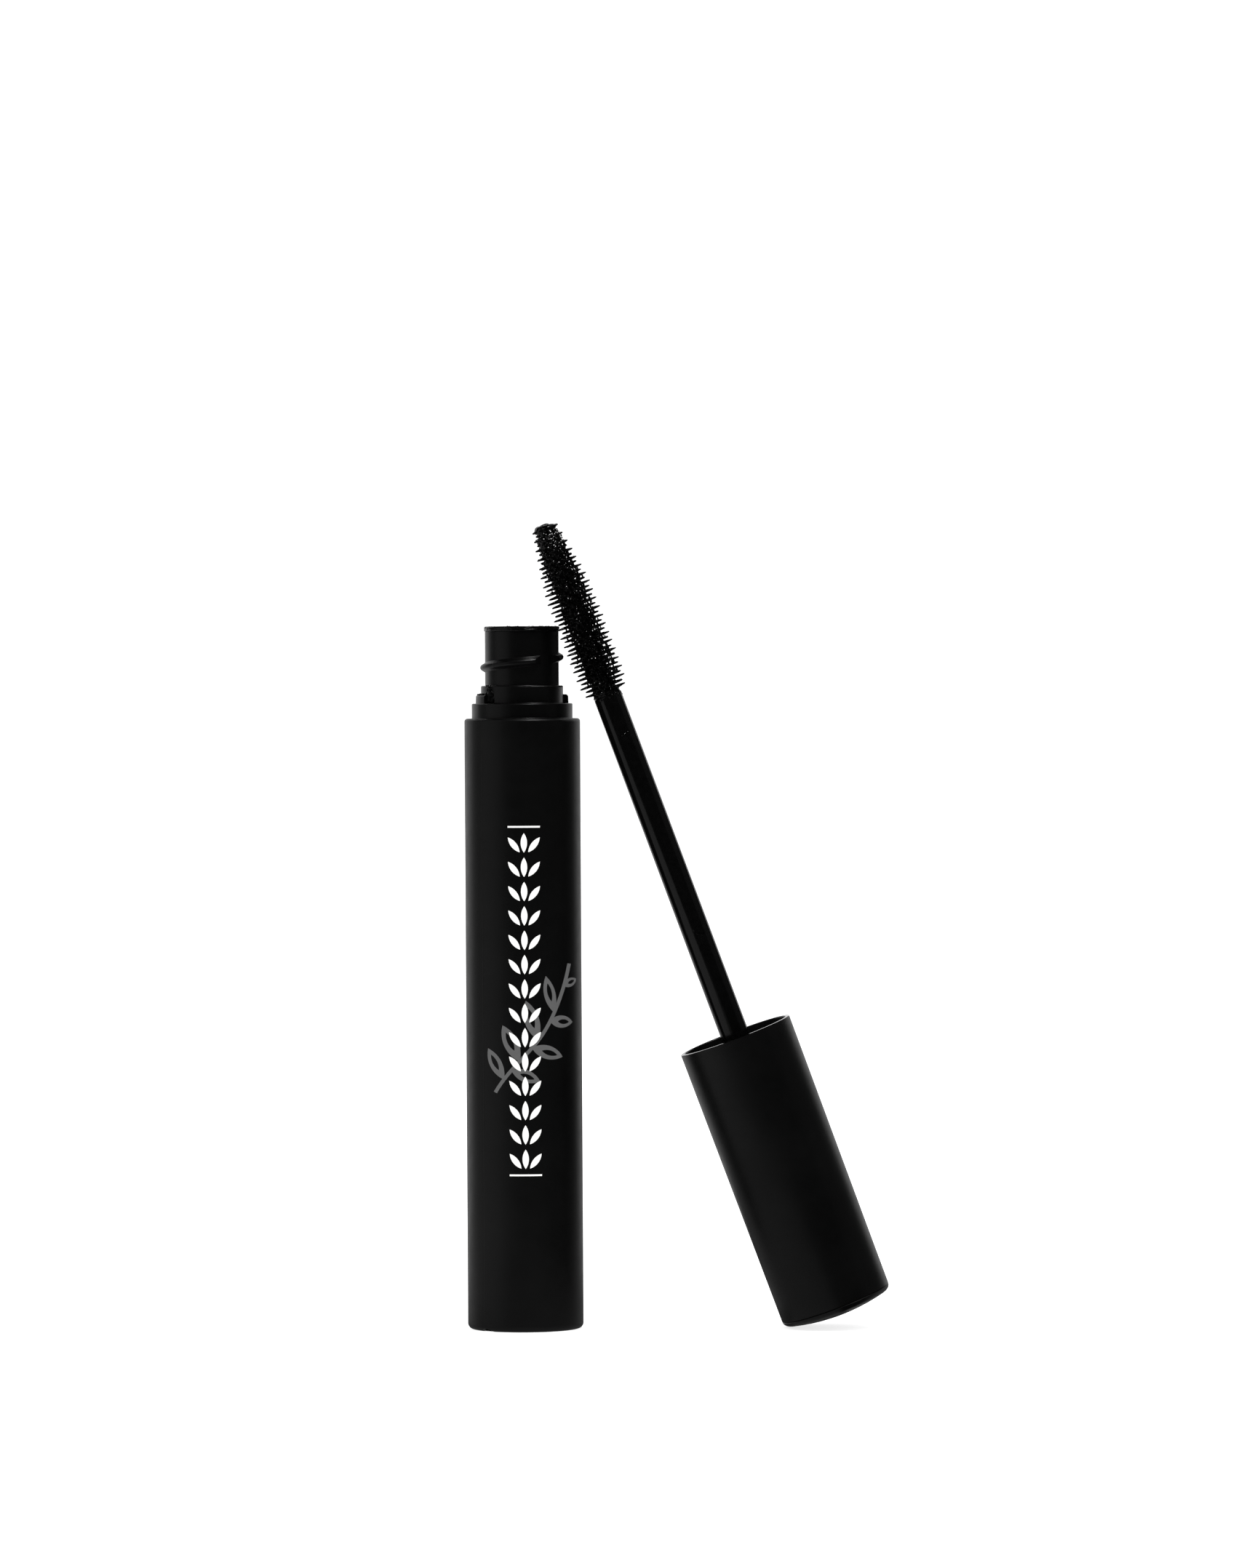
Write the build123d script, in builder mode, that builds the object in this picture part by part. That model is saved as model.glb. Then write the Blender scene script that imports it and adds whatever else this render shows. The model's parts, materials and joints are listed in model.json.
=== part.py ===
from build123d import *

import os
from math import atan, cos, radians, sin, sqrt

# A mascara tube, open: the bottle stands upright, and its cap, with the stem and the brush,
# rests on its closed end beside it and leans on the bottle's neck.
#
# Millimetres, +Z up. The origin is the centre of the bottle's base. An azimuth is an angle about
# the bottle's axis, from the front (-Y) towards the right (+X). On the applicator (cap, stem and
# brush) a station is a distance along its own axis, from the cap's closed end to the brush tip.

os.makedirs("parts", exist_ok=True)

# ---- Driving dimensions: bottle ----
body_radius = 9.0
body_height = 95.0
base_round = 0.9
shoulder_round = 0.45
tiny_round = 0.12
small_round = 0.2
medium_round = 0.3
wide_round = 0.6
cavity_radius = 7.6
floor_thickness = 2.5
cavity_shoulder = 91.5
cavity_slope_height = 3.0
cavity_rounds = (0.8, 1.2, 1.8)

ring_radius = 7.84
ring_height = 2.34
step_radius = 6.39
step_height = 2.75
neck_radius = 5.74
neck_top = 108.58
neck_bore = 4.6
bead_groove_level = 104.0
bead_groove_half_width = 0.4
bead_groove_depth = 0.16

lug_radius = 7.25
lug_height = 1.38
lug_span = 31.0
lug_root = 0.3
lug_draft = 0.06
lug_top_round = 0.4
lug_azimuths = (-85.0, 95.0)

thread_lead = 3.2
thread_height = 0.75
thread_root = 0.25
# The ridge's section: half its width at each share of its height, from the wall to the crest.
thread_section = ((-0.04, 0.90), (0.10, 0.66), (0.50, 0.48), (0.88, 0.28))
thread_front_level = 103.72
thread_stretches = ((-190.0, 31.0), (55.0, 170.0))
thread_end_run = 1.6

notch_azimuth = -43.8
notch_radius = 2.0
notch_height = 0.45
notch_depth = 1.3

# ---- Driving dimensions: wiper ----
flange_radius = 5.88
flange_thickness = 0.75
sleeve_radius = 4.57
sleeve_bore = 3.7
wiper_bottom = 95.4
wiper_orifice = 2.15
wiper_lip = 0.45
wiper_mouth_width = 0.75
wiper_cone_height = 4.6

# ---- Driving dimensions: applicator ----
lean_angle = 20.22
forward_angle = 1.2
cap_end_x = 48.85
cap_end_y = -2.0

cap_floor_gap = 0.25

cap_length = 46.5
cap_end_radius = 8.8
cap_mouth_radius = 8.97
cap_wall = 0.65
cap_end_wall = 1.3
cap_dome = 1.08
cap_edge_round = 0.77
bead_line_depth = 0.1
mouth_chamfer = 0.08

seat_station = 31.4
insert_top_wall = 1.5
insert_mouth_station = 43.65
insert_clearance = 0.03
lug_bore = 7.3
lug_bore_depth = 2.6
catch_rib_radius = 6.92
catch_rib_stations = (42.3, 43.4)
catch_rib_span = 10.0
thread_bore = 6.65
insert_thread_height = 0.65
insert_thread_start = 3.4
insert_thread_span = 400.0
boss_radius = 3.7
boss_length = 8.5

liner_gap = 0.06
liner_thickness = 0.6
liner_inner = 2.6
liner_outer = 6.2

stem_radius = 2.225
stem_bore_clearance = 0.03
stem_end_station = 102.9
stem_head_radius = 2.9
stem_head_length = 1.6
stem_head_taper = 1.0
socket_depth = 9.0
shank_radius = 1.22
shank_clearance = 0.02
shank_gap = 0.3
collar_gap = 0.05

brush_length = 28.3
brush_core = 1.15
brush_collar_radius = 2.0
brush_collar_length = 0.7
bristle_rows = 39
bristles_per_row = 12
bristle_row_thickness = 0.34
first_row_from_tip = 0.8
row_pitch = 0.7026
longest_bristle = 3.83
short_row_drop = 0.37
tip_taper = 1.69
tip_taper_length = 10.45
tip_taper_power = 1.25
heel_start = 24.5
heel_rate = 0.044
heel_power = 2.2
bristle_root = 1.05

# ---- Driving dimensions: printed decoration ----
ink_thickness = 0.04
column_low = 25.0
column_high = 77.7
column_centre = 0.25
column_half_width = 2.5
column_units = 14
sprig_line = 0.55
centre_leaf_half_length = 1.5
centre_leaf_belly = 0.5
side_leaf_root = (0.66, -1.45)
side_leaf_end = 0.85
side_leaf_belly = 0.46
bar_gap = 0.6
bar_height = 0.28

# ---- Derived places ----
step_bottom = body_height + ring_height
neck_bottom = step_bottom + step_height

along = Vector(
    -sin(radians(lean_angle)) * cos(radians(forward_angle)),
    -sin(radians(forward_angle)),
    cos(radians(lean_angle)) * cos(radians(forward_angle)),
)
across = Vector(cos(radians(lean_angle)), 0, sin(radians(lean_angle)))

# The cap's closed end is a low dome, then an arc out to the side wall. The arc starts in line with
# the dome. Its lowest point stands a hair above the floor: the bottle's base alone carries the load.
dome_radius = cap_end_radius - cap_edge_round
edge_station = cap_dome + cap_edge_round
dome_slope = 2 * atan(cap_dome / dome_radius)
edge_arc = cap_edge_round / sqrt(2) / sin(radians(45) - dome_slope)
edge_arc_centre = (dome_radius - edge_arc * sin(dome_slope), cap_dome + edge_arc * cos(dome_slope))
edge_drop = edge_arc + edge_arc_centre[0] * sqrt(1 - along.Z**2) - edge_arc_centre[1] * along.Z
cap_end_z = edge_drop + cap_floor_gap
cap_end = Vector(cap_end_x, cap_end_y, cap_end_z)

applicator_axis = Axis(cap_end, along)
applicator_profile = Plane(origin=cap_end, x_dir=across, z_dir=across.cross(along))


def station_plane(station):
    """The plane square to the applicator's axis at a station."""
    return Plane(origin=cap_end + along * station, x_dir=across, z_dir=along)


def radial_plane(azimuth):
    """The plane through the bottle's axis at an azimuth: local X is the radius, local Y is height."""
    turn = radians(azimuth)
    return Plane(origin=(0, 0, 0), x_dir=(sin(turn), -cos(turn), 0), z_dir=(-cos(turn), -sin(turn), 0))


def outline(plane, corners):
    """A closed face through (x, y) corners; a third number rounds that corner."""
    with BuildSketch(plane) as face:
        with BuildLine():
            Polyline(*[corner[:2] for corner in corners], close=True)
        make_face()
        for corner in corners:
            if len(corner) == 3:
                fillet(face.vertices().sort_by_distance(corner[:2])[0], corner[2])
    return face.sketch


def thread_ridge(wall_radius, height, span):
    """A stretch of right-handed screw ridge about +Z from +X; a negative height points inwards.

    Both ends run out towards the wall.
    """
    with BuildPart() as ridge:
        with BuildLine() as path:
            Helix(pitch=thread_lead, height=thread_lead * span / 360, radius=wall_radius)
        start = path.line @ 0
        with BuildSketch(Plane(origin=start, x_dir=(1, 0, 0), z_dir=path.line % 0)):
            root = -thread_root if height > 0 else thread_root
            below = [(share * height, -half_width) for share, half_width in thread_section]
            above = [(share * height, half_width) for share, half_width in reversed(thread_section)]
            with BuildLine():
                Spline(*below, (height, 0), *above)
                Polyline(above[-1], (root, above[-1][1]), (root, below[0][1]), below[0])
            make_face()
        sweep(path=path.line, is_frenet=True)
        for end, outward in ((path.line @ 0, path.line % 0 * -1), (path.line @ 1, path.line % 1)):
            towards_crest = Vector(end.X, end.Y, 0).normalized() * height
            ramp_normal = towards_crest * (thread_end_run / abs(height)) + outward * abs(height)
            with BuildSketch(Plane(origin=end, z_dir=ramp_normal)):
                Rectangle(3 * thread_end_run, 3 * thread_end_run)
            extrude(amount=3 * thread_height, mode=Mode.SUBTRACT)
    return ridge.part


def export(piece, name):
    """Label a finished piece and write it."""
    piece.part.label = name
    export_step(piece.part, f"parts/{name}.step")


# ---- Bottle: one moulded vial with its stepped, threaded neck ----
neck_threads = [
    Location((0, 0, thread_front_level + thread_lead * low / 360), (0, 0, low - 90))
    * thread_ridge(neck_radius, thread_height, high - low)
    for low, high in thread_stretches
]

with BuildPart() as bottle:
    revolve(
        outline(
            Plane.XZ,
            [
                (0, 0),
                (body_radius, 0, base_round),
                (body_radius, body_height, shoulder_round),
                (ring_radius, body_height, tiny_round),
                (ring_radius, step_bottom, small_round),
                (step_radius, step_bottom, tiny_round),
                (step_radius, neck_bottom, small_round),
                (neck_radius, neck_bottom, tiny_round),
                (neck_radius, neck_top, tiny_round),
                (neck_bore, neck_top),
                (neck_bore, bead_groove_level + bead_groove_half_width),
                (neck_bore + bead_groove_depth, bead_groove_level),
                (neck_bore, bead_groove_level - bead_groove_half_width),
                (neck_bore, cavity_shoulder + cavity_slope_height, cavity_rounds[0]),
                (cavity_radius, cavity_shoulder, cavity_rounds[1]),
                (cavity_radius, floor_thickness, cavity_rounds[2]),
                (0, floor_thickness),
            ],
        ),
        axis=Axis.Z,
    )
    for ridge in neck_threads:
        add(ridge)
    # Two click lugs stand on the lower ring, against the step.
    for azimuth in lug_azimuths:
        lug_profile = [
            (step_radius - lug_root, step_bottom - lug_root),
            (lug_radius, step_bottom - lug_root),
            (lug_radius - lug_draft, step_bottom + lug_height, lug_top_round),
            (step_radius - lug_root, step_bottom + lug_height),
        ]
        revolve(outline(radial_plane(azimuth), lug_profile), axis=Axis.Z, revolution_arc=lug_span)
    # A small decorating notch is cut up into the base edge.
    notch_way = radial_plane(notch_azimuth).x_dir
    notch_plane = Plane(
        origin=notch_way * (body_radius - notch_depth),
        x_dir=-radial_plane(notch_azimuth).z_dir,
        z_dir=notch_way,
    )
    with BuildSketch(notch_plane):
        with Locations((0, notch_height - notch_radius)):
            Circle(notch_radius)
    extrude(amount=2 * notch_depth, mode=Mode.SUBTRACT)
export(bottle, "bottle")

# ---- Wiper: the soft sleeve that scrapes the stem, with its flange on the neck ----
with BuildPart() as wiper:
    revolve(
        outline(
            Plane.XZ,
            [
                (flange_radius, neck_top, tiny_round),
                (flange_radius, neck_top + flange_thickness, small_round),
                (sleeve_bore + wiper_mouth_width, neck_top + flange_thickness, tiny_round),
                (sleeve_bore, neck_top - wiper_mouth_width, wide_round),
                (sleeve_bore, wiper_bottom + wiper_cone_height + wiper_lip, wide_round),
                (wiper_orifice, wiper_bottom + wiper_lip, tiny_round),
                (wiper_orifice, wiper_bottom),
                (wiper_orifice + wiper_lip, wiper_bottom),
                (sleeve_radius - small_round, wiper_bottom + wiper_cone_height, wide_round),
                (sleeve_radius, wiper_bottom + wiper_cone_height + 1),
                (sleeve_radius, bead_groove_level - bead_groove_half_width),
                (sleeve_radius + bead_groove_depth, bead_groove_level),
                (sleeve_radius, bead_groove_level + bead_groove_half_width),
                (sleeve_radius, neck_top),
            ],
        ),
        axis=Axis.Z,
    )
export(wiper, "wiper")


# ---- Overcap: the tapered outer shell, with a fine bead line and a low dome at its closed end ----
def cap_outer(station):
    """The cap's outer radius at a station."""
    return cap_end_radius + (cap_mouth_radius - cap_end_radius) * station / cap_length


def cap_inner(station):
    """The cap's inner radius at a station."""
    return cap_outer(station) - cap_wall


with BuildPart() as overcap:
    with BuildSketch(applicator_profile):
        with BuildLine():
            dome = TangentArc((0, 0), (dome_radius, cap_dome), tangent=(1, 0))
            TangentArc(dome @ 1, (cap_end_radius, edge_station), tangent=dome % 1)
            Polyline(
                (cap_end_radius, edge_station),
                (cap_end_radius - bead_line_depth, edge_station + bead_line_depth),
                (cap_outer(edge_station), edge_station + 2 * bead_line_depth),
                (cap_mouth_radius, cap_length - mouth_chamfer),
                (cap_mouth_radius - mouth_chamfer, cap_length),
                (cap_inner(cap_length) + mouth_chamfer, cap_length),
                (cap_inner(cap_length), cap_length - 2 * mouth_chamfer),
                (cap_inner(cap_end_wall), cap_end_wall + cap_dome),
                (0, cap_end_wall + cap_dome),
                (0, 0),
            )
        make_face()
    revolve(axis=applicator_axis)
export(overcap, "overcap")

# ---- Inner cap: the threaded insert that holds the stem ----
insert_back = seat_station - insert_top_wall
insert_thread = (
    station_plane(seat_station + insert_thread_start).location
    * thread_ridge(thread_bore, -insert_thread_height, insert_thread_span)
)
with BuildPart() as inner_cap:
    revolve(
        outline(
            applicator_profile,
            [
                (stem_radius + stem_bore_clearance, insert_back - boss_length),
                (boss_radius, insert_back - boss_length, medium_round),
                (boss_radius, insert_back),
                (cap_inner(insert_back) - insert_clearance, insert_back, medium_round),
                (cap_inner(insert_mouth_station) - insert_clearance, insert_mouth_station),
                (lug_bore, insert_mouth_station, small_round),
                (lug_bore, insert_mouth_station - lug_bore_depth),
                (thread_bore, insert_mouth_station - lug_bore_depth - lug_bore + thread_bore),
                (thread_bore, seat_station, medium_round),
                (stem_radius + stem_bore_clearance, seat_station),
            ],
        ),
        axis=applicator_axis,
    )
    add(insert_thread)
    # Two catch ribs in the mouth, for the bottle's lugs to click past.
    for side in (across, across * -1):
        rib_plane = Plane(origin=cap_end, x_dir=side, z_dir=side.cross(along))
        rib_low, rib_high = catch_rib_stations
        rib_profile = [
            (catch_rib_radius, rib_low),
            (lug_bore + lug_root, rib_low),
            (lug_bore + lug_root, rib_high),
            (catch_rib_radius, rib_high, tiny_round),
        ]
        revolve(outline(rib_plane, rib_profile), axis=applicator_axis, revolution_arc=catch_rib_span)
export(inner_cap, "inner_cap")

# ---- Cap liner: the loose sealing washer on the insert's seat ----
with BuildPart() as cap_liner:
    liner_low = seat_station + liner_gap
    revolve(
        outline(
            applicator_profile,
            [
                (liner_inner, liner_low),
                (liner_outer, liner_low),
                (liner_outer, liner_low + liner_thickness, tiny_round),
                (liner_inner, liner_low + liner_thickness, tiny_round),
            ],
        ),
        axis=applicator_axis,
    )
export(cap_liner, "cap_liner")

# ---- Stem: the rod from its snap head in the insert to the brush socket ----
with BuildPart() as stem:
    head_top = insert_back - boss_length
    revolve(
        outline(
            applicator_profile,
            [
                (0, head_top - stem_head_length),
                (stem_radius - medium_round, head_top - stem_head_length),
                (stem_head_radius, head_top - stem_head_length + stem_head_taper, tiny_round),
                (stem_head_radius, head_top, tiny_round),
                (stem_radius, head_top),
                (stem_radius, stem_end_station, medium_round),
                (shank_radius + shank_clearance, stem_end_station),
                (shank_radius + shank_clearance, stem_end_station - socket_depth),
                (0, stem_end_station - socket_depth - shank_radius / 2),
            ],
        ),
        axis=applicator_axis,
    )
export(stem, "stem")


# ---- Brush: a moulded core with a shank in the stem, and rows of pointed bristles ----
def bristle_reach(from_tip):
    """The radius of the long bristles' tips at a distance from the brush tip."""
    share = min((from_tip - first_row_from_tip) / tip_taper_length, 1)
    taper = tip_taper * (1 - share) ** tip_taper_power
    heel = heel_rate * max(0, from_tip - heel_start) ** heel_power
    return longest_bristle - taper - heel


def star_points(reach, turn):
    """The corners of one row of bristles, pointed outwards and joined at the core."""
    half_step = 180 / bristles_per_row
    points = []
    for corner in range(2 * bristles_per_row):
        radius = reach if corner % 2 == 0 else brush_core * bristle_root
        angle = radians(turn + corner * half_step)
        points.append((radius * cos(angle), radius * sin(angle)))
    return points


tip_station = stem_end_station + brush_length
shank_end = stem_end_station - socket_depth + shank_gap
collar_low = stem_end_station + collar_gap
with BuildPart() as brush:
    revolve(
        outline(
            applicator_profile,
            [
                (0, shank_end),
                (shank_radius - medium_round, shank_end),
                (shank_radius, shank_end + wide_round),
                (shank_radius, collar_low),
                (brush_collar_radius, collar_low, tiny_round),
                (brush_collar_radius, stem_end_station + brush_collar_length, medium_round),
                (brush_core, stem_end_station + brush_collar_length, small_round),
                (brush_core, tip_station, wide_round),
                (0, tip_station),
            ],
        ),
        axis=applicator_axis,
    )
    for row in range(bristle_rows):
        from_tip = first_row_from_tip + row * row_pitch
        is_short = row % 2 == 1
        reach = bristle_reach(from_tip) - (short_row_drop if is_short else 0)
        row_turn = 180 / bristles_per_row if is_short else 0
        with BuildSketch(station_plane(tip_station - from_tip)):
            with BuildLine():
                Polyline(*star_points(reach, row_turn), close=True)
            make_face()
        extrude(amount=bristle_row_thickness / 2, both=True)
export(brush, "brush")


# ---- Printed decoration: two inks on the front of the bottle ----
def wrapped(arc, height):
    """The front-view place of a point printed at an arc length around the bottle."""
    return (body_radius * sin(arc / body_radius), height)


def leaf(base, tip, belly):
    """A leaf between two printed points, with two bowed edges."""
    middle_arc = (base[0] + tip[0]) / 2
    middle_height = (base[1] + tip[1]) / 2
    length = sqrt((tip[0] - base[0]) ** 2 + (tip[1] - base[1]) ** 2)
    side_arc = (tip[1] - base[1]) / length * belly
    side_height = -(tip[0] - base[0]) / length * belly
    with BuildSketch(Plane.XZ) as shape:
        with BuildLine():
            ThreePointArc(
                wrapped(*base),
                wrapped(middle_arc + side_arc, middle_height + side_height),
                wrapped(*tip),
            )
            ThreePointArc(
                wrapped(*tip),
                wrapped(middle_arc - side_arc, middle_height - side_height),
                wrapped(*base),
            )
        make_face()
    return shape.sketch


unit_pitch = (column_high - column_low) / column_units
with BuildPart() as print_white:
    with BuildSketch(Plane.XZ):
        for unit in range(column_units):
            low = column_low + unit * unit_pitch
            middle = low + unit_pitch / 2
            foot = (column_centre, middle - centre_leaf_half_length)
            top = (column_centre, middle + centre_leaf_half_length)
            add(leaf(foot, top, centre_leaf_belly))
            for side in (-1, 1):
                root = (column_centre + side * side_leaf_root[0], middle + side_leaf_root[1])
                end = (column_centre + side * column_half_width, middle + side_leaf_end)
                add(leaf(root, end, side_leaf_belly))
        for level in (column_low - bar_gap, column_high + bar_gap):
            with Locations((column_centre, level)):
                Rectangle(2 * column_half_width, bar_height)
    extrude(amount=2 * body_radius)
    with BuildSketch(Plane.XY):
        Circle(body_radius + ink_thickness)
        Circle(body_radius, mode=Mode.SUBTRACT)
    extrude(amount=body_height, mode=Mode.INTERSECT)
export(print_white, "print_white")

sprig_points = [(-4.6, 37.2), (-1.2, 41.4), (2.6, 45.6), (5.6, 50.6), (8.2, 57.0)]
sprig_leaves = [
    ((-3.1, 39.2), (-5.9, 44.0), 1.05),
    ((-1.9, 40.6), (2.6, 38.9), 0.95),
    ((-0.6, 42.0), (-3.3, 47.6), 1.15),
    ((1.3, 44.1), (6.6, 42.6), 1.05),
    ((2.3, 45.3), (0.4, 51.4), 1.15),
    ((4.3, 48.2), (9.0, 47.9), 0.95),
    ((5.0, 49.5), (3.6, 55.2), 1.0),
    ((6.9, 53.6), (10.2, 54.6), 0.7),
]
with BuildPart() as print_grey:
    with BuildSketch(Plane.XZ):
        with BuildLine() as sprig_stem:
            Spline(*[wrapped(*point) for point in sprig_points])
        trace(line_width=sprig_line)
        for base, tip, belly in sprig_leaves:
            add(leaf(base, tip, belly))
            inset_base = (base[0] * 0.7 + tip[0] * 0.3, base[1] * 0.7 + tip[1] * 0.3)
            inset_tip = (base[0] * 0.2 + tip[0] * 0.8, base[1] * 0.2 + tip[1] * 0.8)
            add(leaf(inset_base, inset_tip, belly * 0.38), mode=Mode.SUBTRACT)
    extrude(amount=2 * body_radius)
    with BuildSketch(Plane.XY):
        Circle(body_radius + ink_thickness * 0.75)
        Circle(body_radius, mode=Mode.SUBTRACT)
    extrude(amount=body_height, mode=Mode.INTERSECT)
    add(print_white.part, mode=Mode.SUBTRACT)
export(print_grey, "print_grey")
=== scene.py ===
import json
import random
from math import cos, exp, pi, radians, sin, sqrt

import bmesh
import bpy
from mathutils import Matrix, Vector, noise


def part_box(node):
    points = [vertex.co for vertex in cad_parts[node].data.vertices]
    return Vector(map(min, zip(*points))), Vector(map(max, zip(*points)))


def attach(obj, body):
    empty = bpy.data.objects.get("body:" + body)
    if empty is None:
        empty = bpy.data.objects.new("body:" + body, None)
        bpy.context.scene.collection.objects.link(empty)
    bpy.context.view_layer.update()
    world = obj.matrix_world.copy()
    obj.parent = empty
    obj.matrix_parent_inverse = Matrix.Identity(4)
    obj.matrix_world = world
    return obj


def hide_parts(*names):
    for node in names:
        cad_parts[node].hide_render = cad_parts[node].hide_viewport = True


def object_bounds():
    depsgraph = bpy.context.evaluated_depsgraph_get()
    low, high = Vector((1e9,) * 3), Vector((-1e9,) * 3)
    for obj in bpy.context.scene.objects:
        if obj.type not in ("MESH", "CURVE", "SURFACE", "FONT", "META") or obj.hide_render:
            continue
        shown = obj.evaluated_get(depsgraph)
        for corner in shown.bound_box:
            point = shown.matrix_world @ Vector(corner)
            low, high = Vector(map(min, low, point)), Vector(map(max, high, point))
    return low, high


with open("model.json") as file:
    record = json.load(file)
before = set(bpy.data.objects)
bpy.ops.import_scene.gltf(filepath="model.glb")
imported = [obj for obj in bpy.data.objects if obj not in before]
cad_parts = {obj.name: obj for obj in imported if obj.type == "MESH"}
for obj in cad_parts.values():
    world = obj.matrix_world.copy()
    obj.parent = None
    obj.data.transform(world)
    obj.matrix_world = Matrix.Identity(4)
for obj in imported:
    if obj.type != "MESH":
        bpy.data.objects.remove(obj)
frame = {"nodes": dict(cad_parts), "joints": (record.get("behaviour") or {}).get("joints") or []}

cad_box = [list(corner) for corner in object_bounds()]
rng = random.Random(11)
mm = 0.001
nodes = frame["nodes"]

# ---- Places on the object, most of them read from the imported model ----
cap_turn = next(joint for joint in frame["joints"] if joint["name"] == "cap_turn")
cap_end = Vector(cap_turn["pos_m"])
along = Vector(cap_turn["axis"]).normalized()
across = Vector((0, 1, 0)).cross(along).normalized()
front = across.cross(along)


def stations(node):
    """A node's lowest and highest station on the applicator's axis."""
    found = [(v.co - cap_end).dot(along) for v in nodes[node].data.vertices]
    return min(found), max(found)


def outward(angle):
    """The direction away from the applicator's axis; angle 0 is across, a quarter turn is the front."""
    return across * cos(angle) + front * sin(angle)


def applicator_point(station, radius, angle):
    """A point round the applicator's axis, at a station along it from the cap's closed end."""
    return cap_end + along * station + outward(angle) * radius


def brush_point(from_tip, radius, angle):
    """A point of the brush, from its distances in millimetres to the tip and to the axis."""
    return applicator_point(brush_tip - from_tip * mm, radius * mm, angle)


def bottle_point(radius, azimuth, height):
    """A point round the bottle's axis; azimuth 0 is the front and 90 the right."""
    turn = radians(azimuth)
    return Vector((radius * sin(turn), -radius * cos(turn), height))


upward = Vector((0, 0, 1))
rim_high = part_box("wiper")[1]
# The bottle's body ends at this height, and a low ring with the click lugs on it stands on the body.
body_top = 95.0 * mm
ring_top = body_top + 2.34 * mm
stem_end = stations("stem")[1]
brush_tip = stations("brush")[1]


# ---- Materials ----
class Maker:
    """A material's node tree, with short calls for the nodes used here."""

    def __init__(self, name):
        self.material = bpy.data.materials.new(name)
        self.material.use_nodes = True
        self.tree = self.material.node_tree
        self.shader = self.tree.nodes["Principled BSDF"]
        self.place = self.tree.nodes.new("ShaderNodeTexCoord").outputs["Object"]

    def set(self, **values):
        for name, value in values.items():
            socket = self.shader.inputs[name.replace("_", " ")]
            if hasattr(value, "is_output"):
                self.tree.links.new(value, socket)
            else:
                socket.default_value = (*value, 1) if isinstance(value, tuple) else value

    def node(self, kind, inputs=(), **settings):
        made = self.tree.nodes.new(kind)
        for name, value in settings.items():
            setattr(made, name, value)
        for name, value in dict(inputs).items():
            if hasattr(value, "is_output"):
                self.tree.links.new(value, made.inputs[name])
            else:
                made.inputs[name].default_value = value
        return made

    def noise(self, per_mm, detail=2.0, rough=0.5):
        inputs = {"Vector": self.place, "Scale": per_mm / mm, "Detail": detail, "Roughness": rough}
        return self.node("ShaderNodeTexNoise", inputs).outputs["Fac"]

    def spread(self, value, low, high, to_low, to_high):
        inputs = {"Value": value, "From Min": low, "From Max": high, "To Min": to_low, "To Max": to_high}
        return self.node("ShaderNodeMapRange", inputs).outputs["Result"]

    def math(self, operation, first, second=0.0):
        return self.node("ShaderNodeMath", {0: first, 1: second}, operation=operation).outputs[0]

    def blend(self, factor, first, second):
        made = self.tree.nodes.new("ShaderNodeMix")
        made.data_type = "RGBA"
        self.tree.links.new(factor, made.inputs["Factor"])
        for socket, value in ((made.inputs[6], first), (made.inputs[7], second)):
            if hasattr(value, "is_output"):
                self.tree.links.new(value, socket)
            else:
                socket.default_value = (*value, 1)
        return made.outputs[2]

    def bump(self, height, depth, under=None):
        inputs = {"Height": height, "Distance": depth, "Strength": 1.0}
        if under is not None:
            inputs["Normal"] = under
        return self.node("ShaderNodeBump", inputs).outputs["Normal"]

    def dust(self, per_mm, size):
        """1 at rare small specks."""
        inputs = {"Vector": self.place, "Scale": per_mm / mm}
        cells = self.node("ShaderNodeTexVoronoi", inputs).outputs["Distance"]
        return self.spread(cells, size * per_mm * 0.5, size * per_mm, 1, 0)

    def station(self, axis):
        """How far a point lies along an axis through the origin."""
        inputs = {0: self.place, 1: axis}
        return self.node("ShaderNodeVectorMath", inputs, operation="DOT_PRODUCT").outputs["Value"]


def moulded_black(name, roughness, axis, smooth_above, smooth_over, smooth_roughness, seam_azimuth=None):
    """Matt black plastic with a soft-touch grain, faint clouding and dust.

    It turns smoother above a station on an axis, and may have a mould seam.
    """
    m = Maker(name)
    cloud = m.noise(0.12, 3.0)
    grain = m.noise(7.0, 2.0, 0.7)
    coarse_dust = m.dust(0.14, 0.045)
    fine_dust = m.math("MULTIPLY", m.dust(0.75, 0.04), 0.10)
    speck = m.math("MAXIMUM", coarse_dust, fine_dust)
    deep, faded = (0.0010, 0.0010, 0.00104), (0.0016, 0.0016, 0.00164)
    black = m.blend(m.spread(cloud, 0.35, 0.65, 0, 1), deep, faded)
    matt = m.spread(m.noise(0.5, 4.0), 0.3, 0.7, roughness - 0.025, roughness + 0.03)
    smooth = m.spread(m.station(axis), smooth_above, smooth_above + smooth_over, 0, 1)
    matt = m.math("SUBTRACT", matt, m.math("MULTIPLY", smooth, roughness - smooth_roughness))
    normal = m.bump(grain, 0.005 * mm)
    if seam_azimuth is not None:
        turn = radians(seam_azimuth)
        off_seam = m.math("ABSOLUTE", m.station((cos(turn), sin(turn), 0)))
        seam = m.spread(off_seam, 0.02 * mm, 0.13 * mm, 1, 0)
        normal = m.bump(seam, 0.016 * mm, normal)
    m.set(
        Base_Color=m.blend(speck, black, (0.12, 0.12, 0.12)),
        Roughness=matt,
        Normal=normal,
        IOR=1.47,
    )
    return m.material


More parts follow.
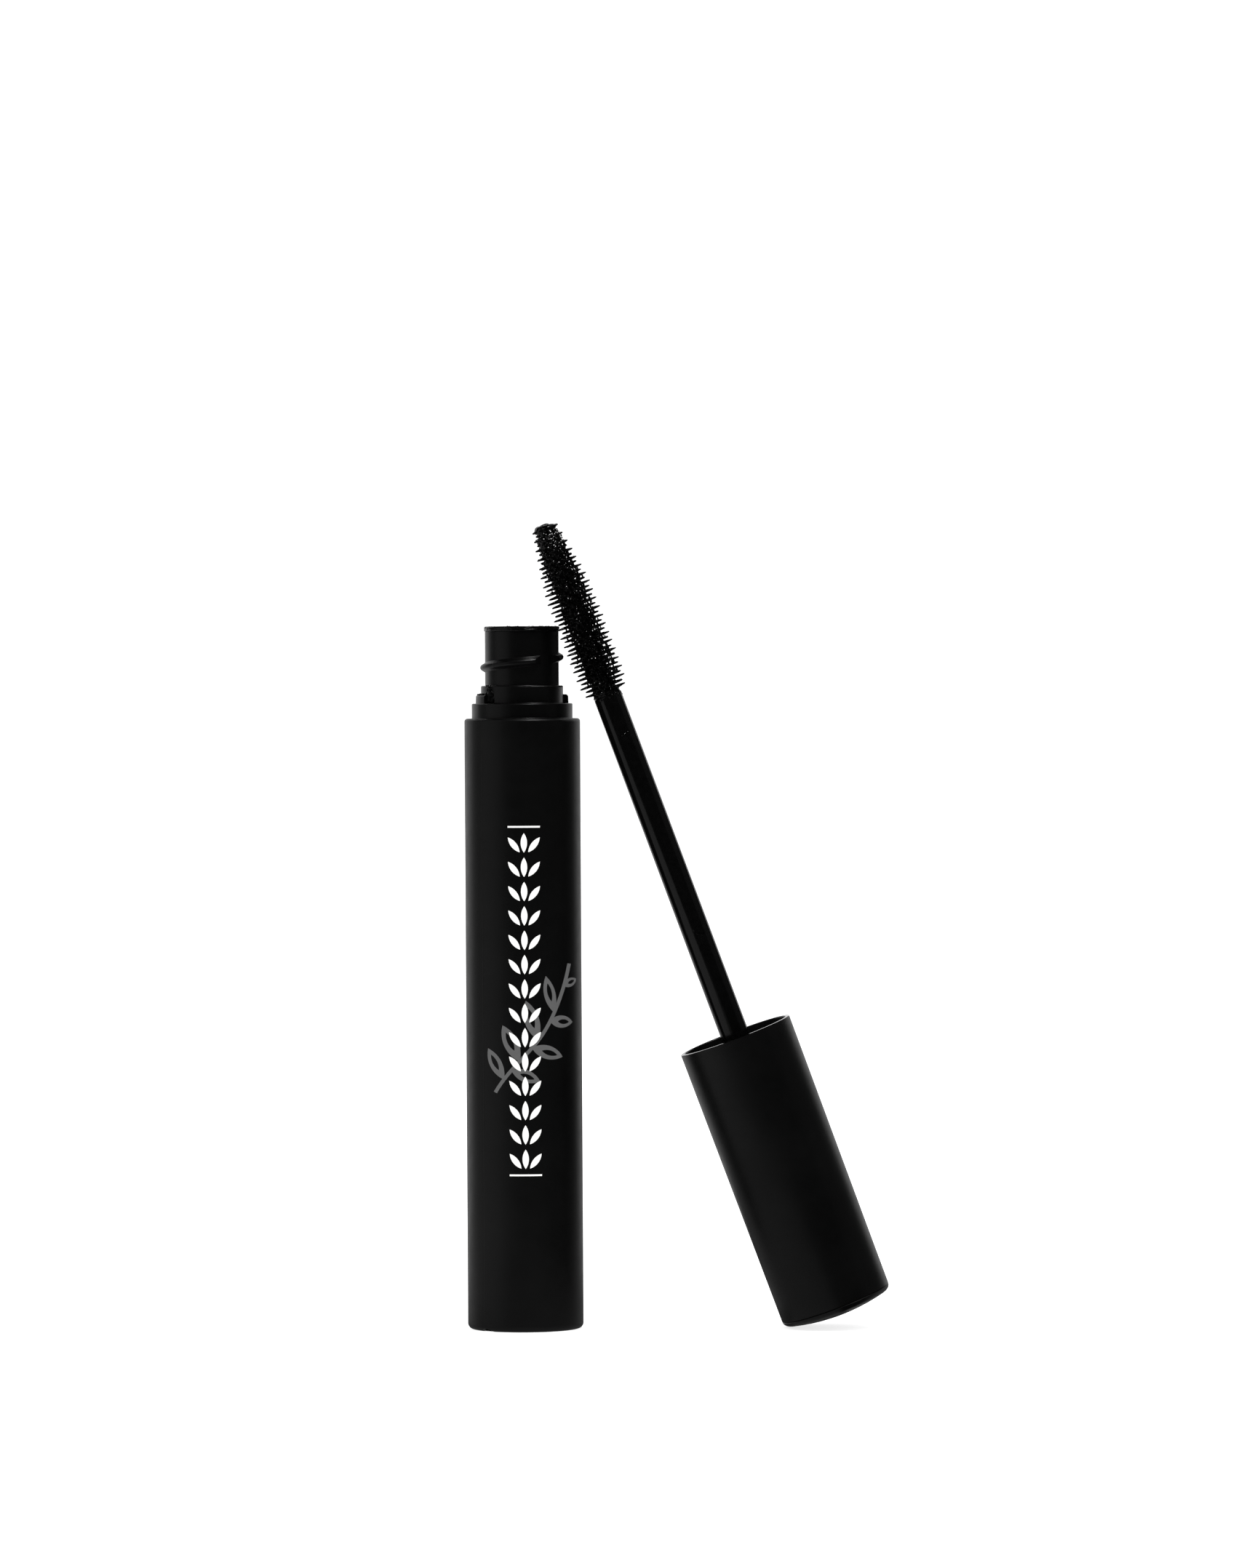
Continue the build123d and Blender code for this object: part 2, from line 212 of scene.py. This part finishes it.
def glossy_black(name, roughness, grain_per_mm=1.2, depth=0.003, base=0.003):
    """Smooth black plastic with a slight ripple."""
    m = Maker(name)
    ripple = m.noise(grain_per_mm, 2.0)
    fine = m.noise(9.0, 2.0)
    shade = m.blend(m.spread(ripple, 0.3, 0.7, 0, 1), (base,) * 3, (base * 1.5,) * 3)
    m.set(
        Base_Color=shade,
        Roughness=m.spread(fine, 0.3, 0.7, roughness - 0.02, roughness + 0.03),
        Normal=m.bump(ripple, depth * mm),
        IOR=1.49,
    )
    return m.material


def ink(name, colour, roughness):
    """Pad-printed ink with faint mottling and a slightly rough skin."""
    m = Maker(name)
    mottle = m.noise(1.6, 4.0)
    shade = m.blend(m.spread(mottle, 0.35, 0.65, 0, 1), tuple(c * 0.95 for c in colour), colour)
    m.set(
        Base_Color=shade,
        Roughness=m.spread(m.noise(6.0, 3.0), 0.3, 0.7, roughness - 0.05, roughness + 0.06),
        Normal=m.bump(m.noise(10.0, 2.0), 0.002 * mm),
    )
    return m.material


def wet_product(name):
    """Thick wet black formula: deep black, smooth and glossy over soft lumps."""
    m = Maker(name)
    lumps = m.noise(2.6, 2.0, 0.5)
    fine = m.noise(9.0, 2.0, 0.6)
    normal = m.bump(lumps, 0.09 * mm)
    normal = m.bump(fine, 0.003 * mm, normal)
    m.set(
        Base_Color=m.blend(m.spread(lumps, 0.3, 0.7, 0, 1), (0.0004,) * 3, (0.0010,) * 3),
        Roughness=m.spread(fine, 0.35, 0.65, 0.05, 0.10),
        Normal=normal,
        IOR=1.50,
    )
    return m.material


def painted_glint(name):
    """A painted glint: a tiny pale bead on the wet formula, bright under any light, standing in for a
    highlight.
    """
    m = Maker(name)
    ripple = m.noise(6.0, 1.0)
    # The pale base colour paints a highlight into each bead.
    m.set(
        Base_Color=m.blend(m.spread(ripple, 0.3, 0.7, 0, 1), (0.45,) * 3, (0.85,) * 3),
        Roughness=m.spread(ripple, 0.3, 0.7, 0.08, 0.16),
        Normal=m.bump(ripple, 0.01 * mm),
    )
    return m.material


def dried_product(name):
    """Dried formula: black, lumpy and nearly matt."""
    m = Maker(name)
    lumps = m.noise(3.0, 3.0, 0.6)
    m.set(
        Base_Color=m.blend(m.spread(lumps, 0.3, 0.7, 0, 1), (0.0005,) * 3, (0.0012,) * 3),
        Roughness=m.spread(lumps, 0.3, 0.7, 0.22, 0.5),
        Normal=m.bump(lumps, 0.05 * mm),
        Specular_IOR_Level=0.16,
    )
    return m.material


def elastomer(name):
    """The brush's soft plastic under a thin coat of formula."""
    m = Maker(name)
    lumps = m.noise(4.0, 2.0, 0.5)
    m.set(
        Base_Color=m.blend(m.spread(lumps, 0.3, 0.7, 0, 1), (0.0006,) * 3, (0.0014,) * 3),
        Roughness=m.spread(m.noise(8.0, 2.0), 0.3, 0.7, 0.16, 0.3),
        Normal=m.bump(lumps, 0.015 * mm),
        IOR=1.45,
    )
    return m.material


def foam(name):
    """Closed-cell sealing foam."""
    m = Maker(name)
    cells = m.node("ShaderNodeTexVoronoi", {"Vector": m.place, "Scale": 6.0 / mm}).outputs["Distance"]
    m.set(
        Base_Color=m.blend(m.spread(cells, 0.0, 0.6, 0, 1), (0.55, 0.55, 0.53), (0.74, 0.74, 0.72)),
        Roughness=m.spread(cells, 0.0, 0.6, 0.6, 0.75),
        Normal=m.bump(cells, 0.03 * mm),
    )
    return m.material


def dress(node, material):
    """Put one material on all of a CAD node's slots."""
    found = nodes[node]
    if not found.material_slots:
        found.data.materials.append(material)
    for each in found.material_slots:
        each.material = material


formula_look = wet_product("formula_look")
dried_look = dried_product("dried_look")
painted_glint_look = painted_glint("painted_glint_look")
brush_look = elastomer("brush_look")
cap_mouth = cap_end.dot(along) + stations("overcap")[1]
dress("bottle", moulded_black(
    "bottle_look", roughness=0.40, axis=(0, 0, 1), smooth_above=body_top, smooth_over=0.3 * mm,
    smooth_roughness=0.34, seam_azimuth=-43.8,
))
dress("overcap", moulded_black(
    "cap_look", roughness=0.37, axis=tuple(along), smooth_above=cap_mouth - 0.10 * mm,
    smooth_over=0.04 * mm, smooth_roughness=0.10,
))
dress("wiper", glossy_black("wiper_look", 0.24, grain_per_mm=1.5, depth=0.02, base=0.0012))
dress("inner_cap", glossy_black("insert_look", 0.30, base=0.005))
dress("stem", glossy_black("stem_look", 0.11, base=0.0011))
dress("cap_liner", foam("liner_look"))
dress("print_white", ink("white_ink_look", (0.82, 0.82, 0.80), 0.42))
dress("print_grey", ink("grey_ink_look", (0.095, 0.095, 0.095), 0.38))


# ---- Mesh helpers ----
class Shell:
    """Points and faces of one piece, gathered before its mesh is made."""

    def __init__(self):
        self.points, self.faces = [], []

    def skin(self, rings, closed=True):
        """Faces over rings of points. The two ends are closed, or else the last ring joins the first."""
        first, count = len(self.points), len(rings[0])
        for ring in rings:
            self.points.extend(ring)
        rows = len(rings) if not closed else len(rings) - 1
        for row in range(rows):
            low, high = first + row * count, first + (row + 1) % len(rings) * count
            for i in range(count):
                j = (i + 1) % count
                self.faces.append((low + i, low + j, high + j, high + i))
        if closed:
            last = first + (len(rings) - 1) * count
            self.faces.append(tuple(range(first + count - 1, first - 1, -1)))
            self.faces.append(tuple(range(last, last + count)))

    def rod(self, points, radii, sides=8):
        """A closed rod through points, with a radius at each."""
        run = (points[-1] - points[0]).normalized()
        side = run.orthogonal().normalized()
        up = run.cross(side)
        turns = [(cos(2 * pi * k / sides), sin(2 * pi * k / sides)) for k in range(sides)]
        self.skin([
            [point + (side * c + up * s) * radius for c, s in turns]
            for point, radius in zip(points, radii)
        ])

    def drop(self, centre, away, size, flatten, seed, stretch=None, stretch_by=1.0):
        """A lumpy drop on a surface, flattened along the way out of it and stretched along another."""
        first = len(self.points)
        away = away.normalized()
        shift = Vector((seed, seed * 0.7, seed * 1.3))
        for unit in ball_points:
            offset = unit * size * (1 + 0.28 * noise.noise(unit * 1.7 + shift))
            offset += away * offset.dot(away) * (flatten - 1)
            if stretch is not None:
                offset += stretch * offset.dot(stretch) * (stretch_by - 1)
            self.points.append(centre + offset)
        self.faces.extend(tuple(first + i for i in face) for face in ball_faces)

    def piece(self, name, material, body, slot):
        """Make the object, dress it, and let it ride on a body."""
        mesh = bpy.data.meshes.new(name)
        mesh.from_pydata(self.points, [], self.faces)
        mesh.polygons.foreach_set("use_smooth", [True] * len(mesh.polygons))
        mesh.materials.append(material)
        made = bpy.data.objects.new(name, mesh)
        bpy.context.scene.collection.objects.link(made)
        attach(made, body)
        return made


ball = bmesh.new()
bmesh.ops.create_icosphere(ball, subdivisions=2, radius=1.0)
ball_points = [vert.co.copy() for vert in ball.verts]
ball_faces = [[vert.index for vert in face.verts] for face in ball.faces]
ball.free()

# ---- Brush: core, collar and individually moulded bristles, in millimetres ----
bristle_rows = 39
bristles_per_row = 12
bristle_step = 2 * pi / bristles_per_row
first_row_from_tip = 0.8
row_pitch = 0.7026
longest_bristle = 3.83
short_row_drop = 0.37
tip_taper, tip_taper_length = 1.69, 10.45
heel_start, heel_growth = 24.5, 0.044
core_radius = 1.15
core_sides = 48
bristle_root = core_radius * 0.8
# The core and collar, as distance from the tip and radius.
core_outline = (
    (0.0, 0.35), (0.12, 0.7), (0.4, 1.0), (0.8, core_radius), (27.4, core_radius),
    (27.6, 1.35), (27.62, 1.95), (27.75, 2.0), (28.2, 2.0), (28.24, 1.9),
)
# One bristle, as share of its length and radius.
bristle_outline = (
    (0.0, 0.30), (0.18, 0.285), (0.38, 0.258), (0.58, 0.220),
    (0.76, 0.180), (0.90, 0.140), (0.97, 0.105), (1.0, 0.045),
)


def row_from_tip(row):
    """How far a row of bristles lies from the brush's tip; a half row lies between two rows."""
    return first_row_from_tip + row * row_pitch


def bristle_reach(row):
    """The radius that a row's bristle tips reach."""
    share = min(row * row_pitch / tip_taper_length, 1)
    taper = tip_taper * (1 - share) ** 1.25
    heel = heel_growth * max(0, row_from_tip(row) - heel_start) ** 2.2
    return longest_bristle - taper - heel - (short_row_drop if row % 2 else 0)


def bristle_angle(row, number):
    """The angle of one bristle round the axis; every other row is turned by half a step."""
    return bristle_step * (number + (0.5 if row % 2 else 0))


brush = Shell()
brush.skin([
    [brush_point(from_tip, radius, -2 * pi * k / core_sides) for k in range(core_sides)]
    for from_tip, radius in core_outline
])
for row in range(bristle_rows):
    for number in range(bristles_per_row):
        angle = bristle_angle(row, number) + rng.gauss(0, 0.035)
        reach = bristle_reach(row) - abs(rng.gauss(0, 0.05))
        lift = rng.gauss(0, 0.05)
        bend = rng.gauss(0, 0.03)
        coat = rng.uniform(0.92, 1.12)
        points, radii = [], []
        for share, thick in bristle_outline:
            radius = bristle_root + (reach - bristle_root) * share
            from_tip = row_from_tip(row) - lift * share**1.5
            spot = brush_point(from_tip, radius, angle + bend * share**2)
            lump = 1 + 0.13 * noise.noise(spot / (0.35 * mm))
            points.append(spot)
            radii.append(thick * mm * (coat if share < 0.9 else 1.0) * lump)
        brush.rod(points, radii)
bristles = brush.piece("brush_bristles", brush_look, "applicator", "brush_elastomer")
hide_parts("brush")

# ---- Wet formula on the brush: a lumpy sheath round the core that climbs the bristle roots ----
sheath_start = 0.03
sheath_length = 28.6
sheath_step = 0.085
sheath_sides = 132
sheath_radius = 1.56
clogged_length = 9.0
plugged_length = 3.2
tip_round = 0.85
tip_slant = 0.32
slanted_length = 0.8
collar_from_tip = 27.3
collar_ridge = 2.12
end_taper_start, end_taper_length, end_taper = 28.2, 0.45, 0.14
# The last count is of pale beads that paint highlights on the formula.
root_beads, end_beads, painted_glint_count = 420, 110, 170


def sheath_surface(from_tip, angle):
    """The radius of the formula's surface."""
    spot = Vector((cos(angle) * 1.8, sin(angle) * 1.8, from_tip))
    rough = noise.fractal(spot * 1.3, 0.9, 2.1, 2)
    fine = noise.noise(spot * 3.4 + Vector((9, 2, 5)))
    left = 0.5 - 0.5 * cos(angle)
    clog = max(0.0, 1 - from_tip / clogged_length)
    plug = max(0.0, 1 - from_tip / plugged_length)
    thick = sheath_radius + 0.06 * clog + 0.10 * plug + 0.27 * left * (1 - 0.6 * clog)
    thick += 0.19 * rough + 0.05 * fine
    row_place = (from_tip - first_row_from_tip) / row_pitch
    for row in (int(row_place), int(row_place) + 1):
        if 0 <= row < bristle_rows:
            place = angle / bristle_step - (0.5 if row % 2 else 0)
            off_angle = (place - round(place)) * bristle_step * 1.9
            off_row = from_tip - row_from_tip(row)
            near = exp(-(off_angle**2 + off_row**2) / 0.085)
            thick += near * (0.34 + 0.16 * left) * (1 - 0.35 * clog)
    nearest_row = max(0, min(bristle_rows - 1, round(row_place)))
    thick = min(thick, bristle_reach(nearest_row) - 0.12 - 0.28 * clog)
    if from_tip < tip_round:
        lean = (tip_round - from_tip) / (tip_round + 0.02)
        thick -= tip_round * (1 - sqrt(1 - lean**2))
    if from_tip > collar_from_tip:
        ridge = collar_ridge + 0.22 * noise.noise(spot * 2.6 + Vector((3, 7, 1)))
        fade = min(1.0, (from_tip - collar_from_tip) / 0.4)
        thick = thick * (1 - fade) + ridge * fade
    if from_tip > end_taper_start:
        thick *= 1 - (from_tip - end_taper_start) / end_taper_length * end_taper
    return thick


def drop_on_brush(shell, from_tip, radius, angle, size, flatten, seed, stretch_by):
    """A drop of formula on the brush, stretched along it."""
    spot = brush_point(from_tip, radius, angle)
    shell.drop(spot, outward(angle), size * mm, flatten, seed, along, stretch_by)


def sheath_point(from_tip, angle):
    """A point of the formula's surface, whose end is slanted: lower on the right."""
    slant = tip_slant * (0.5 + 0.5 * cos(angle)) * max(0.0, 1 - from_tip / slanted_length)
    return brush_point(from_tip + slant, sheath_surface(from_tip, angle), angle)


sheath = Shell()
sheath.skin([
    [sheath_point(sheath_start + i * sheath_step, -2 * pi * k / sheath_sides) for k in range(sheath_sides)]
    for i in range(int(sheath_length / sheath_step) + 1)
])

# Webs between neighbouring rows, which leave small holes on the right and close up on the left.
for row in range(2, bristle_rows - 3):
    for number in range(bristles_per_row):
        angle = bristle_angle(row, number) + rng.choice((-1, 1)) * bristle_step / 4
        left = 0.5 - 0.5 * cos(angle)
        if rng.random() > 0.62 - 0.25 * left:
            continue
        room = bristle_reach(row) - 1.7
        radius = 1.7 + room * (0.34 + 0.13 * rng.gauss(0, 1) - 0.12 * left)
        size = rng.uniform(0.10, 0.17)
        drop_on_brush(sheath, row_from_tip(row + 0.5), radius, angle, size, 1.0, rng.uniform(0, 50), 2.3)
# Finer webs on the right.
for row in range(2, bristle_rows - 4):
    for count in range(5):
        angle = rng.gauss(0, 0.42)
        radius = rng.uniform(1.9, min(bristle_reach(row) - 0.75, 2.95))
        from_tip = row_from_tip(row + 0.5 + rng.gauss(0, 0.08))
        size, flatten = rng.uniform(0.08, 0.16), rng.uniform(0.8, 1.3)
        seed, stretch_by = rng.uniform(0, 50), rng.uniform(1.7, 2.5)
        drop_on_brush(sheath, from_tip, radius, angle, size, flatten, seed, stretch_by)
# Beads on the bristles and between them, thicker towards the tip.
for count in range(root_beads):
    row = max(1, min(int(rng.betavariate(0.9, 1.25) * bristle_rows), bristle_rows - 1))
    number = rng.randrange(bristles_per_row)
    angle = bristle_angle(row, number) + rng.uniform(-0.5, 0.5) * bristle_step
    radius = 1.62 + (bristle_reach(row) - 1.7) * rng.betavariate(1.2, 4.0)
    from_tip = row_from_tip(row + rng.uniform(-0.4, 0.4))
    size, flatten = rng.uniform(0.09, 0.22), rng.uniform(0.7, 1.2)
    seed, stretch_by = rng.uniform(0, 50), rng.uniform(0.8, 1.4)
    drop_on_brush(sheath, from_tip, radius, angle, size, flatten, seed, stretch_by)
# Beads that hang on the bristles' ends in the rows near the tip.
for count in range(end_beads):
    row = rng.randrange(2, 14)
    angle = bristle_angle(row, rng.randrange(bristles_per_row))
    radius = bristle_reach(row) - rng.uniform(0.3, 0.7)
    size = rng.uniform(0.12, 0.22)
    drop_on_brush(sheath, row_from_tip(row), radius, angle, size, 1.0, rng.uniform(0, 50), 1.0)
sheath.piece("brush_formula", formula_look, "applicator", "formula")

# Painted glints: tiny pale beads that stand in for highlights on the wet formula, more of them on the
# right and near the tip.
painted_glints = Shell()
for count in range(painted_glint_count):
    row = 1 + min(int(rng.betavariate(0.75, 1.4) * bristle_rows), bristle_rows - 4)
    angle = rng.choice((rng.gauss(0.75, 0.45), rng.uniform(0, pi), rng.uniform(0, 2 * pi)))
    radius = 1.95 + (bristle_reach(row) - 2.3) * rng.betavariate(1.0, 2.2)
    from_tip = row_from_tip(row + rng.uniform(-0.5, 0.5))
    size = rng.uniform(0.03, 0.078)
    drop_on_brush(painted_glints, from_tip, radius, angle, size, 0.9, count * 1.3, rng.uniform(0.8, 1.5))
painted_glints.piece("brush_painted_glints", painted_glint_look, "applicator", "formula")

# ---- Formula left on the stem: a broken ridge under the brush and a few dabs lower down ----
stem_radius = 2.225 * mm
dab_size = 0.2
# Each dab's station in millimetres, angle in degrees and width in millimetres.
stem_dabs = ((96.3, 84, 0.5), (96.45, 62, 0.3), (63.0, 66, 0.42), (63.4, 84, 0.34), (64.1, 96, 0.2))

smears = Shell()
for count in range(16):
    angle = rng.uniform(0, 2 * pi)
    spot = applicator_point(stem_end - rng.uniform(-0.1, 0.7) * mm, stem_radius * 0.98, angle)
    away = outward(angle)
    size, stretch_by = rng.uniform(0.14, 0.3), rng.uniform(1.0, 2.2)
    smears.drop(spot, away, size * mm, 0.45, count * 3.1, along.cross(away), stretch_by)
for station, degrees_round, width in stem_dabs:
    angle = radians(degrees_round)
    spot = applicator_point(station * mm, stem_radius * 0.985, angle)
    away = outward(angle)
    smears.drop(spot, away, dab_size * mm, 0.32, station, along.cross(away), width / dab_size)
smears.piece("stem_formula", formula_look, "applicator", "formula")

# ---- Formula on the bottle's rim, and on and beside the left click lug ----
flange = rim_high.x
rim_top = rim_high.z
ring_points = 240

residue = Shell()
film = []
for k in range(ring_points):
    azimuth = -360 * k / ring_points
    turn = radians(azimuth)
    wave = noise.noise(Vector((cos(turn) * 2.2, sin(turn) * 2.2, 0.3)))
    fine = noise.noise(Vector((cos(turn) * 9, sin(turn) * 9, 4.0)))
    swell = max(0.0, 0.05 + 0.11 * wave + 0.05 * fine) * mm
    film.append([
        bottle_point(flange - 0.10 * mm, azimuth, rim_top - 0.78 * mm),
        bottle_point(flange + 0.15 * swell, azimuth, rim_top - 0.66 * mm - 0.9 * swell),
        bottle_point(flange + 0.5 * swell, azimuth, rim_top - 0.52 * mm),
        bottle_point(flange - 0.04 * mm, azimuth, rim_top - 0.36 * mm),
    ])
residue.skin(film, closed=False)
# Drops on the rim's side.
for count in range(46):
    azimuth = rng.choice((rng.gauss(-35, 30), rng.gauss(70, 35), rng.uniform(0, 360)))
    lip = rng.uniform(-0.62, -0.02)
    spot = bottle_point(flange - rng.uniform(0.02, 0.12) * mm, azimuth, rim_top + lip * mm)
    away, tangent = bottle_point(1, azimuth, 0.3), bottle_point(1, azimuth + 90, 0)
    size, stretch_by = rng.uniform(0.06, 0.16), rng.uniform(1.0, 2.6)
    residue.drop(spot, away, size * mm, 0.7, count * 1.7, tangent, stretch_by)
# Drops on the rim's flat top.
for count in range(60):
    azimuth = rng.uniform(0, 360)
    radius = rng.uniform(4.5, 5.6) * mm
    spot = bottle_point(radius, azimuth, rim_top - 0.015 * mm)
    residue.drop(spot, upward, rng.uniform(0.06, 0.22) * mm, 0.35, count * 2.3)
residue.piece("rim_formula", formula_look, "bottle", "formula")

# Each lump's azimuth in degrees, radius, height over the ring and size in millimetres, and flatness.
lug_lumps = (
    (-51.5, 6.42, 0.75, 0.80, 0.5),
    (-50.0, 6.40, 1.5, 0.75, 0.5),
    (-46.5, 6.38, 0.5, 0.60, 0.5),
    (-55.5, 6.46, 0.55, 0.65, 0.6),
    (-54.0, 6.40, 2.0, 0.55, 0.5),
    (-46.5, 6.36, 1.4, 0.50, 0.5),
    (-58.0, 6.46, 1.3, 0.5, 0.6),
    (-50.0, 6.36, 2.25, 0.40, 0.6),
)

lump = Shell()
for azimuth, radius, height, size, flatten in lug_lumps:
    spot = bottle_point(radius * mm, azimuth, ring_top + height * mm)
    lump.drop(spot, bottle_point(1, azimuth, 0), size * mm, flatten, azimuth)
lump.piece("lug_formula", dried_look, "bottle", "formula")

# Beads on top of the lug, then on the step's edge over the lumps.
beads = Shell()
for count in range(22):
    azimuth = rng.uniform(-84, -60)
    spot = bottle_point(rng.uniform(6.5, 7.0) * mm, azimuth, ring_top + rng.uniform(1.34, 1.5) * mm)
    beads.drop(spot, upward, rng.uniform(0.08, 0.2) * mm, 0.7, count * 1.9)
for count in range(20):
    azimuth = rng.uniform(-60, -47)
    spot = bottle_point(rng.uniform(6.3, 6.6) * mm, azimuth, ring_top + rng.uniform(2.2, 2.85) * mm)
    beads.drop(spot, bottle_point(1, azimuth, 0.6), rng.uniform(0.07, 0.18) * mm, 0.7, count * 2.9)
beads.piece("lug_beads", formula_look, "bottle", "formula")


# ---- Stage: floor, lights and camera ----
floor_colour = (0.55, 0.55, 0.55)
floor_glow = 0.75


def stage_sheet(name, corners, glow=None):
    """A flat sheet of the studio: the floor, or, with a glow, a card that only shows in reflections."""
    bm = bmesh.new()
    bm.faces.new([bm.verts.new(corner) for corner in corners])
    mesh = bpy.data.meshes.new(name)
    bm.to_mesh(mesh)
    bm.free()
    made = bpy.data.objects.new(name, mesh)
    bpy.context.scene.collection.objects.link(made)
    finish = bpy.data.materials.new(name)
    finish.use_nodes = True
    tree = finish.node_tree
    if glow is None:
        shader = tree.nodes["Principled BSDF"]
        shader.inputs["Base Color"].default_value = (*floor_colour, 1)
        shader.inputs["Roughness"].default_value = 1.0
        shader.inputs["Specular IOR Level"].default_value = 0.0
        shader.inputs["Emission Color"].default_value = (1, 1, 1, 1)
        shader.inputs["Emission Strength"].default_value = floor_glow
        made.visible_glossy = False
    else:
        emit = tree.nodes.new("ShaderNodeEmission")
        emit.inputs["Strength"].default_value = glow
        tree.links.new(emit.outputs[0], tree.nodes["Material Output"].inputs[0])
        made.visible_camera = False
        made.visible_shadow = False
        made.visible_diffuse = False
    mesh.materials.append(finish)


def upright_card(name, azimuth, half_angle, distance, low, high, glow):
    """An upright glowing card that faces the object. Azimuth 0 is the camera's side, 90 the right."""
    turn, half = radians(azimuth), radians(half_angle)
    at = Vector((sin(turn), -cos(turn), 0)) * distance
    side = Vector((cos(turn), sin(turn), 0)) * distance * sin(half) / cos(half)
    low_edge, high_edge = upward * low, upward * high
    corners = [at - side + low_edge, at + side + low_edge, at + side + high_edge, at - side + high_edge]
    stage_sheet(name, corners, glow)


def floor_card(name, corners, glow, depth=0.1 * mm):
    """A glowing card that lies under the floor. Corners are in metres."""
    stage_sheet(name, [(x, y, floor_z - depth) for x, y in corners], glow)


floor_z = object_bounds()[0].z
floor_reach = 4
floor_corners = ((-1, -1), (1, -1), (1, 1), (-1, 1))
stage_sheet("floor", [(x * floor_reach, y * floor_reach, floor_z) for x, y in floor_corners])

# Azimuth and half angle in degrees, distance and the heights of both edges in metres, and glow. The last
# is a bright band low in the background, which shows in the cap's lip, seen at a grazing angle.
for card in (
    ("card_left", -66, 24, 0.9, 0.002, 1.0, 0.225),
    ("card_back_left", -151, 28, 1.1, 0.002, 1.2, 0.75),
    ("card_back_right", 156, 24, 1.1, 0.002, 1.2, 0.64),
    ("card_right", 90, 24, 1.0, 0.002, 0.9, 0.045),
    ("card_low_band", 184, 20, 1.05, 0.10, 0.40, 1.1),
):
    upright_card(*card)

# A small black flag keeps the back light off the right side of the bottle's neck.
flag_low, flag_high = body_top + 4.9 * mm, rim_high.z + 2.0 * mm
flag_near, flag_far = (0.0082, -0.0002), (0.0072, 0.0055)
flag_corners = [
    (*flag_near, flag_low), (*flag_far, flag_low), (*flag_far, flag_high), (*flag_near, flag_high),
]
stage_sheet("neck_flag", flag_corners, 0.0)

# The lit floor ends a quarter of a metre in front of the object and is dimmer straight in front of it.
near_left, middle_left, near_middle = (-0.04, -0.06), (-0.02, 0.05), (0.0, -0.11)
near_right, behind = (0.05, -0.11), (0.0, 0.07)
front_left = (-0.055, -0.24)
floor_card(
    "floor_card_left",
    [(-1.3, -0.18), (-0.20, -0.22), (-0.12, -0.235), front_left, near_left, middle_left, (-1.3, 0.9)],
    0.30,
)
floor_card("floor_card_near", [near_left, near_middle, near_right, (0.05, 0.03), middle_left], 0.17)
floor_card(
    "floor_card_front",
    [front_left, (-0.05, -0.3), (0.4, -0.3), (0.4, 0.0), near_right, near_middle, near_left],
    0.09,
)
floor_card("floor_card_back_left", [(-1.3, 0.9), middle_left, behind, (0.0, 1.3), (-1.3, 1.3)], 0.6)
floor_card("floor_card_back_right", [behind, (0.06, 0.07), (1.3, 1.1), (1.3, 1.3), (0.0, 1.3)], 0.5)

# Two small cards above the others show in the cap's underside: a dark one below it and a lighter one
# beyond its end.
upper_depth = 0.05 * mm
cap_shade = [(0.034, -0.006), (0.051, -0.006), (0.051, 0.06), (0.034, 0.06)]
floor_card("floor_card_cap_shade", cap_shade, 0.08, upper_depth)
beyond_cap = [(0.051, -0.006), (0.12, -0.006), (0.12, 0.12), (0.051, 0.12)]
floor_card("floor_card_cap_end", beyond_cap, 0.24, upper_depth)

# The key light stands high in front, to the right of the camera.
key_azimuth, key_elevation, key_distance = radians(34), radians(66), 1.0
middle = (Vector(cad_box[0]) + Vector(cad_box[1])) / 2
key_way = Vector((
    sin(key_azimuth) * cos(key_elevation),
    -cos(key_azimuth) * cos(key_elevation),
    sin(key_elevation),
))
key_place = middle + key_way * key_distance
key_data = bpy.data.lights.new("key", "AREA")
key_data.shape = "RECTANGLE"
key_data.size, key_data.size_y, key_data.energy = 0.14, 0.14, 3.2
key = bpy.data.objects.new("key", key_data)
key.location = key_place
key.rotation_euler = (middle - key_place).to_track_quat("-Z", "Y").to_euler()
bpy.context.scene.collection.objects.link(key)

# The white surroundings light the object and fill the background, but don't show in its reflections.
world = bpy.data.worlds.new("studio")
world.use_nodes = True
background = world.node_tree.nodes["Background"]
background.inputs["Color"].default_value = (1, 1, 1, 1)
background.inputs["Strength"].default_value = 1.15
bpy.context.scene.world = world
world.cycles_visibility.glossy = False
bpy.context.scene.view_settings.view_transform = "Standard"

# The camera stands straight in front, at the height of the bottle's neck. It is turned down by less
# than a degree and rolled by a third of one.
camera_place = Vector((0.01547, -1.2, 0.1025))
camera_pitch = radians(0.85)
camera_roll = 0.0059
camera_data = bpy.data.cameras.new("camera")
camera_data.lens = 177.0
camera_data.sensor_width = 36.0
camera_data.clip_start = 0.05
camera_data.clip_end = 50.0
camera = bpy.data.objects.new("camera", camera_data)
ahead = Vector((0, cos(camera_pitch), -sin(camera_pitch)))
up = Vector((camera_roll, sin(camera_pitch), cos(camera_pitch)))
right = ahead.cross(up).normalized()
up = right.cross(ahead)
turned = Matrix((right, up, -ahead)).transposed().to_4x4()
camera.matrix_world = Matrix.Translation(camera_place) @ turned
bpy.context.scene.collection.objects.link(camera)
bpy.context.scene.camera = camera

bpy.context.view_layer.update()
